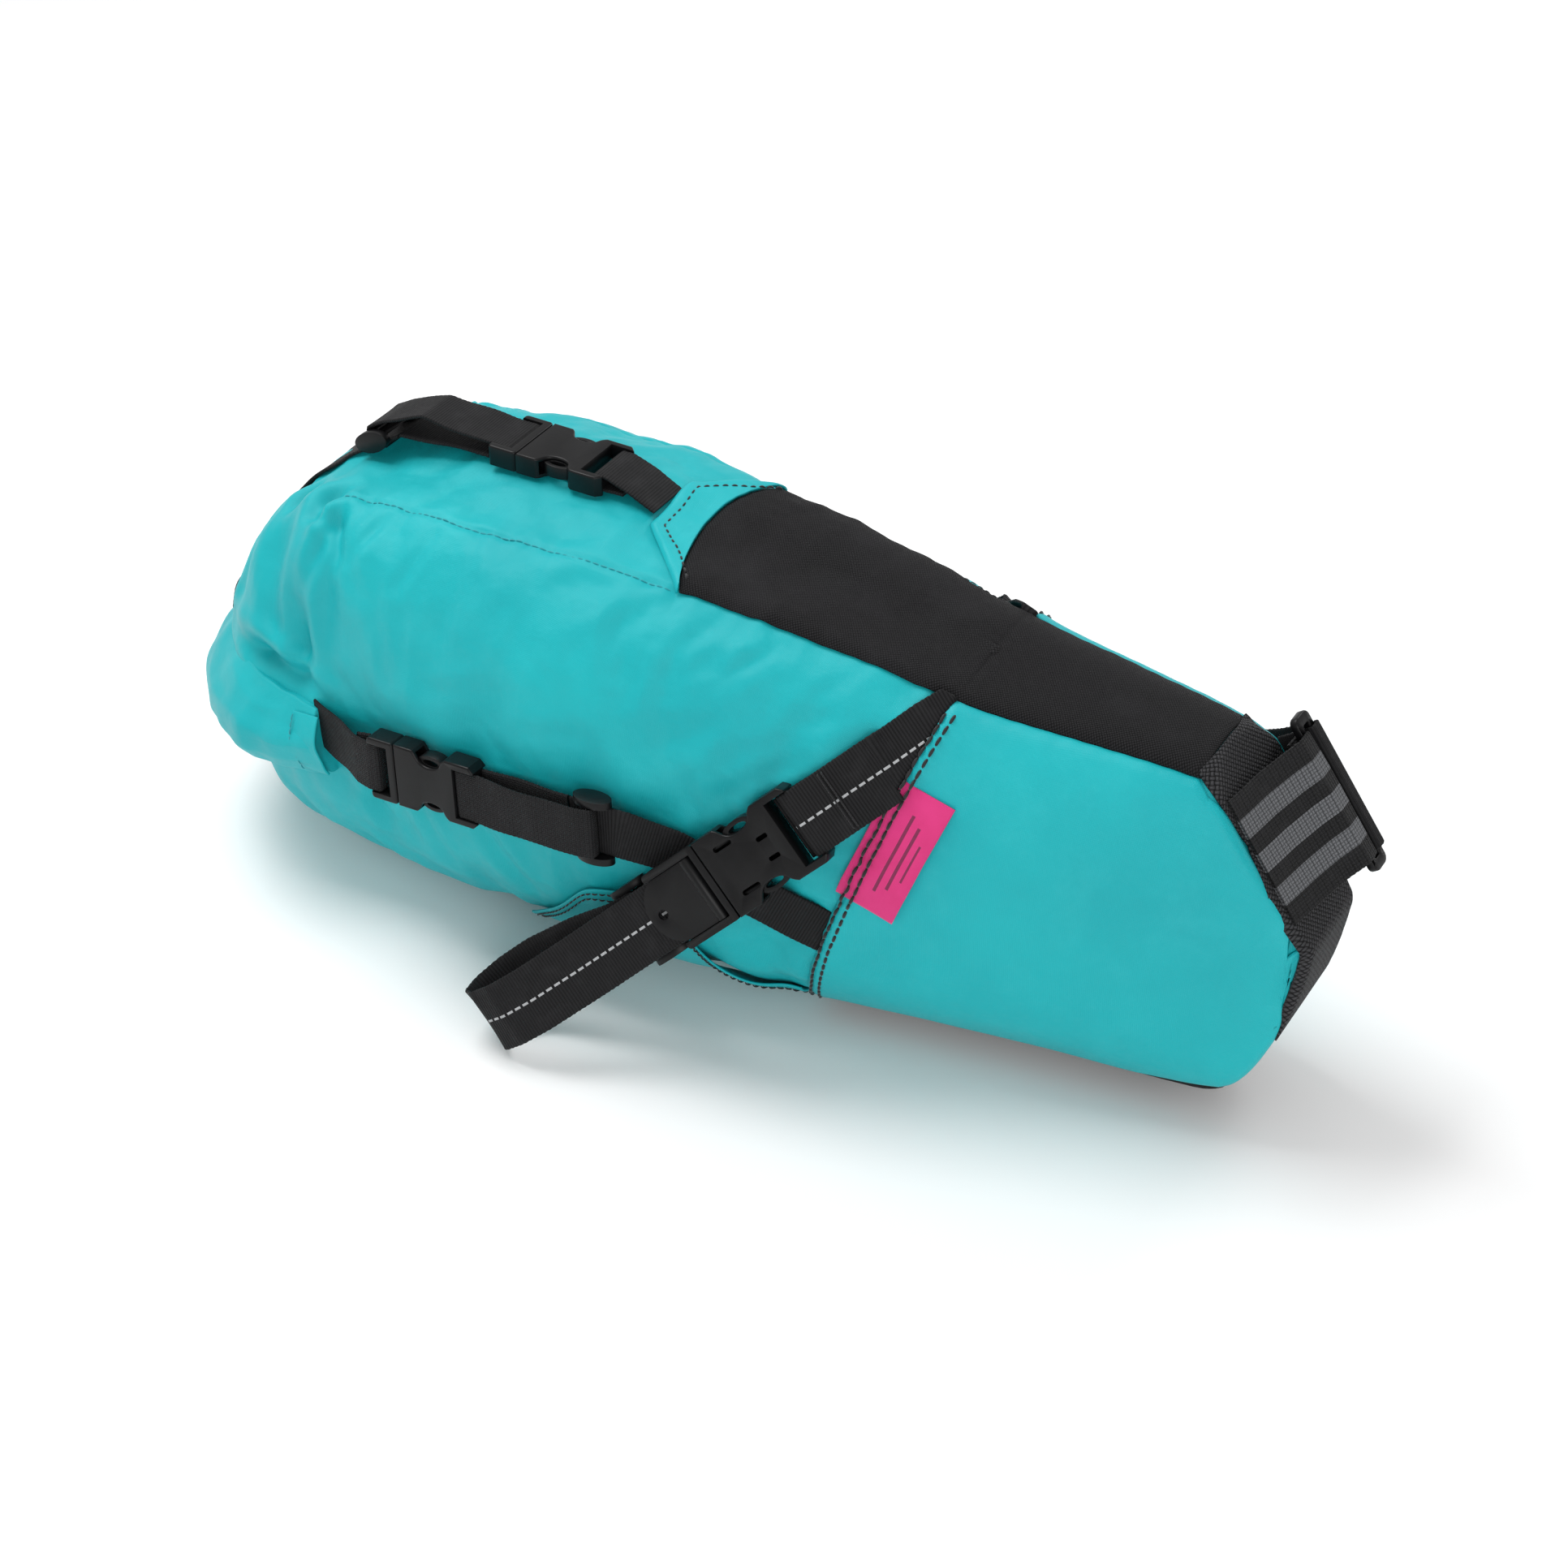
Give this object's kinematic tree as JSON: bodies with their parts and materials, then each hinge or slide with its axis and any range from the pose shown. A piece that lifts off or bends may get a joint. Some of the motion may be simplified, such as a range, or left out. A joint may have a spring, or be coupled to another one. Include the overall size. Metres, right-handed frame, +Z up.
{
  "type": "saddle bag",
  "caption": "Roll-top saddle bag with side-release compression straps, cam-buckle straps for the saddle rails and a wide seat-post strap.",
  "frame": {"origin": "on the flat belly that the stuffed bag rests on, in the middle of its length without the loose straps", "axes": "+X forward to the seat post, +Z up away from the belly towards the saddle, +Y to the rider's left"},
  "size_m": [0.483, 0.2372, 0.1866],
  "materials": {
    "coated_cloth": "satin",
    "textured_cloth": "matte",
    "mesh_cloth": "matte",
    "label_cloth": "matte",
    "webbing": "matte",
    "tracer_webbing": "matte",
    "striped_webbing": "matte",
    "moulded_plastic": "satin",
    "stiffener_sheet": "matte"
  },
  "bodies": {
    "bag": {"body_shell": "coated_cloth", "bottom_boot": "textured_cloth", "bottom_stiffener": "stiffener_sheet", "hook_strap": "webbing", "label": "label_cloth", "nose_patch": "mesh_cloth", "post_ring": "moulded_plastic", "post_strap": "striped_webbing", "rail_strap_root_left": "tracer_webbing", "rail_strap_root_right": "tracer_webbing", "roll_stiffener": "stiffener_sheet", "roll_top": "coated_cloth", "side_buckle_male_left": "moulded_plastic", "side_buckle_male_right": "moulded_plastic", "side_panel_left": "coated_cloth", "side_panel_right": "coated_cloth", "side_strap_front_left": "webbing", "side_strap_front_right": "webbing", "side_strap_loop_left": "webbing", "side_strap_loop_right": "webbing", "side_strap_rear_left": "webbing", "side_strap_rear_right": "webbing", "side_triglide_left": "moulded_plastic", "side_triglide_right": "moulded_plastic", "strap_yoke": "coated_cloth", "top_buckle_female": "moulded_plastic", "top_panel": "textured_cloth", "top_strap_front": "webbing", "top_strap_loop": "webbing", "top_strap_rear": "webbing", "top_triglide": "moulded_plastic", "wing_left": "coated_cloth", "wing_right": "coated_cloth"},
    "top_insert": {"top_buckle_male": "moulded_plastic"},
    "top_prong_left": {"top_buckle_prong_left": "moulded_plastic"},
    "top_prong_right": {"top_buckle_prong_right": "moulded_plastic"},
    "side_receiver_right": {"side_buckle_female_right": "moulded_plastic"},
    "side_prong_high_right": {"side_buckle_prong_high_right": "moulded_plastic"},
    "side_prong_low_right": {"side_buckle_prong_low_right": "moulded_plastic"},
    "rail_strap_right": {"rail_strap_upper_right": "tracer_webbing", "rail_buckle_female_right": "moulded_plastic"},
    "rail_insert_right": {"rail_buckle_male_right": "moulded_plastic", "rail_triglide_right": "moulded_plastic", "rail_strap_loop_right": "tracer_webbing"},
    "rail_cam_right": {"rail_cam_lever_right": "moulded_plastic"},
    "rail_prong_high_right": {"rail_buckle_prong_high_right": "moulded_plastic"},
    "rail_prong_low_right": {"rail_buckle_prong_low_right": "moulded_plastic"},
    "side_receiver_left": {"side_buckle_female_left": "moulded_plastic"},
    "side_prong_high_left": {"side_buckle_prong_high_left": "moulded_plastic"},
    "side_prong_low_left": {"side_buckle_prong_low_left": "moulded_plastic"},
    "rail_strap_left": {"rail_strap_upper_left": "tracer_webbing", "rail_buckle_female_left": "moulded_plastic"},
    "rail_insert_left": {"rail_buckle_male_left": "moulded_plastic", "rail_triglide_left": "moulded_plastic", "rail_strap_loop_left": "tracer_webbing"},
    "rail_cam_left": {"rail_cam_lever_left": "moulded_plastic"},
    "rail_prong_high_left": {"rail_buckle_prong_high_left": "moulded_plastic"},
    "rail_prong_low_left": {"rail_buckle_prong_low_left": "moulded_plastic"},
    "hook_flap": {"hook_flap": "webbing"}
  },
  "joints": [
    {"name": "top_buckle_release", "type": "slide", "parent": "bag", "child": "top_insert", "axis": [-1, 0, 0.0083], "range_m": [0, 0.022], "deforming": ["top_strap_loop"]},
    {"name": "top_prong_left_press", "type": "slide", "parent": "top_insert", "child": "top_prong_left", "axis": [0, -1, 0], "range_m": [0, 0.0015], "stiffness_N_per_m": 400},
    {"name": "top_prong_right_press", "type": "slide", "parent": "top_insert", "child": "top_prong_right", "axis": [0, 1, 0], "range_m": [0, 0.0015], "stiffness_N_per_m": 400},
    {"name": "side_buckle_release_right", "type": "slide", "parent": "bag", "child": "side_receiver_right", "axis": [0.998, -0.02, 0.0599], "range_m": [0, 0.022], "deforming": ["side_strap_loop_right"]},
    {"name": "side_prong_high_right_press", "type": "slide", "parent": "bag", "child": "side_prong_high_right", "axis": [0.0588, -0.0499, -0.997], "range_m": [0, 0.0015], "stiffness_N_per_m": 400},
    {"name": "side_prong_low_right_press", "type": "slide", "parent": "bag", "child": "side_prong_low_right", "axis": [-0.0588, 0.0499, 0.997], "range_m": [0, 0.0015], "stiffness_N_per_m": 400},
    {"name": "rail_strap_swing_right", "type": "hinge", "parent": "bag", "child": "rail_strap_right", "pos_m": [0.07789, -0.0533, 0.13158], "axis": [-0.7169, 0.1008, 0.6898], "range_deg": [0, 90]},
    {"name": "rail_buckle_release_right", "type": "slide", "parent": "rail_strap_right", "child": "rail_insert_right", "axis": [-0.6799, -0.3199, -0.6599], "range_m": [0, 0.024]},
    {"name": "rail_cam_lift_right", "type": "hinge", "parent": "rail_insert_right", "child": "rail_cam_right", "pos_m": [0.02385, -0.08329, 0.0798], "axis": [-0.7169, 0.1008, 0.6898], "range_deg": [0, 100]},
    {"name": "rail_prong_high_right_press", "type": "slide", "parent": "rail_insert_right", "child": "rail_prong_high_right", "axis": [0.7169, -0.1008, -0.6898], "range_m": [0, 0.0015], "stiffness_N_per_m": 400},
    {"name": "rail_prong_low_right_press", "type": "slide", "parent": "rail_insert_right", "child": "rail_prong_low_right", "axis": [-0.7169, 0.1008, 0.6898], "range_m": [0, 0.0015], "stiffness_N_per_m": 400},
    {"name": "side_buckle_release_left", "type": "slide", "parent": "bag", "child": "side_receiver_left", "axis": [0.998, 0.02, 0.0599], "range_m": [0, 0.022], "deforming": ["side_strap_loop_left"]},
    {"name": "side_prong_high_left_press", "type": "slide", "parent": "bag", "child": "side_prong_high_left", "axis": [0.0588, 0.0499, -0.997], "range_m": [0, 0.0015], "stiffness_N_per_m": 400},
    {"name": "side_prong_low_left_press", "type": "slide", "parent": "bag", "child": "side_prong_low_left", "axis": [-0.0588, -0.0499, 0.997], "range_m": [0, 0.0015], "stiffness_N_per_m": 400},
    {"name": "rail_strap_swing_left", "type": "hinge", "parent": "bag", "child": "rail_strap_left", "pos_m": [0.07789, 0.0533, 0.13158], "axis": [0.7169, 0.1008, -0.6898], "range_deg": [0, 90]},
    {"name": "rail_buckle_release_left", "type": "slide", "parent": "rail_strap_left", "child": "rail_insert_left", "axis": [-0.6799, 0.3199, -0.6599], "range_m": [0, 0.024]},
    {"name": "rail_cam_lift_left", "type": "hinge", "parent": "rail_insert_left", "child": "rail_cam_left", "pos_m": [0.02385, 0.08329, 0.0798], "axis": [0.7169, 0.1008, -0.6898], "range_deg": [0, 100]},
    {"name": "rail_prong_high_left_press", "type": "slide", "parent": "rail_insert_left", "child": "rail_prong_high_left", "axis": [0.7169, 0.1008, -0.6898], "range_m": [0, 0.0015], "stiffness_N_per_m": 400},
    {"name": "rail_prong_low_left_press", "type": "slide", "parent": "rail_insert_left", "child": "rail_prong_low_left", "axis": [-0.7169, -0.1008, 0.6898], "range_m": [0, 0.0015], "stiffness_N_per_m": 400},
    {"name": "hook_flap_peel", "type": "hinge", "parent": "bag", "child": "hook_flap", "pos_m": [0.20902, 0.02695, 0.1218], "axis": [0.5762, 0, -0.8173], "range_deg": [0, 105]}
  ],
  "couplings": [
    {"joint": "top_prong_right_press", "follows": "top_prong_left_press", "ratio": 1},
    {"joint": "side_prong_low_right_press", "follows": "side_prong_high_right_press", "ratio": 1},
    {"joint": "rail_prong_low_right_press", "follows": "rail_prong_high_right_press", "ratio": 1},
    {"joint": "side_prong_low_left_press", "follows": "side_prong_high_left_press", "ratio": 1},
    {"joint": "rail_prong_low_left_press", "follows": "rail_prong_high_left_press", "ratio": 1}
  ]
}
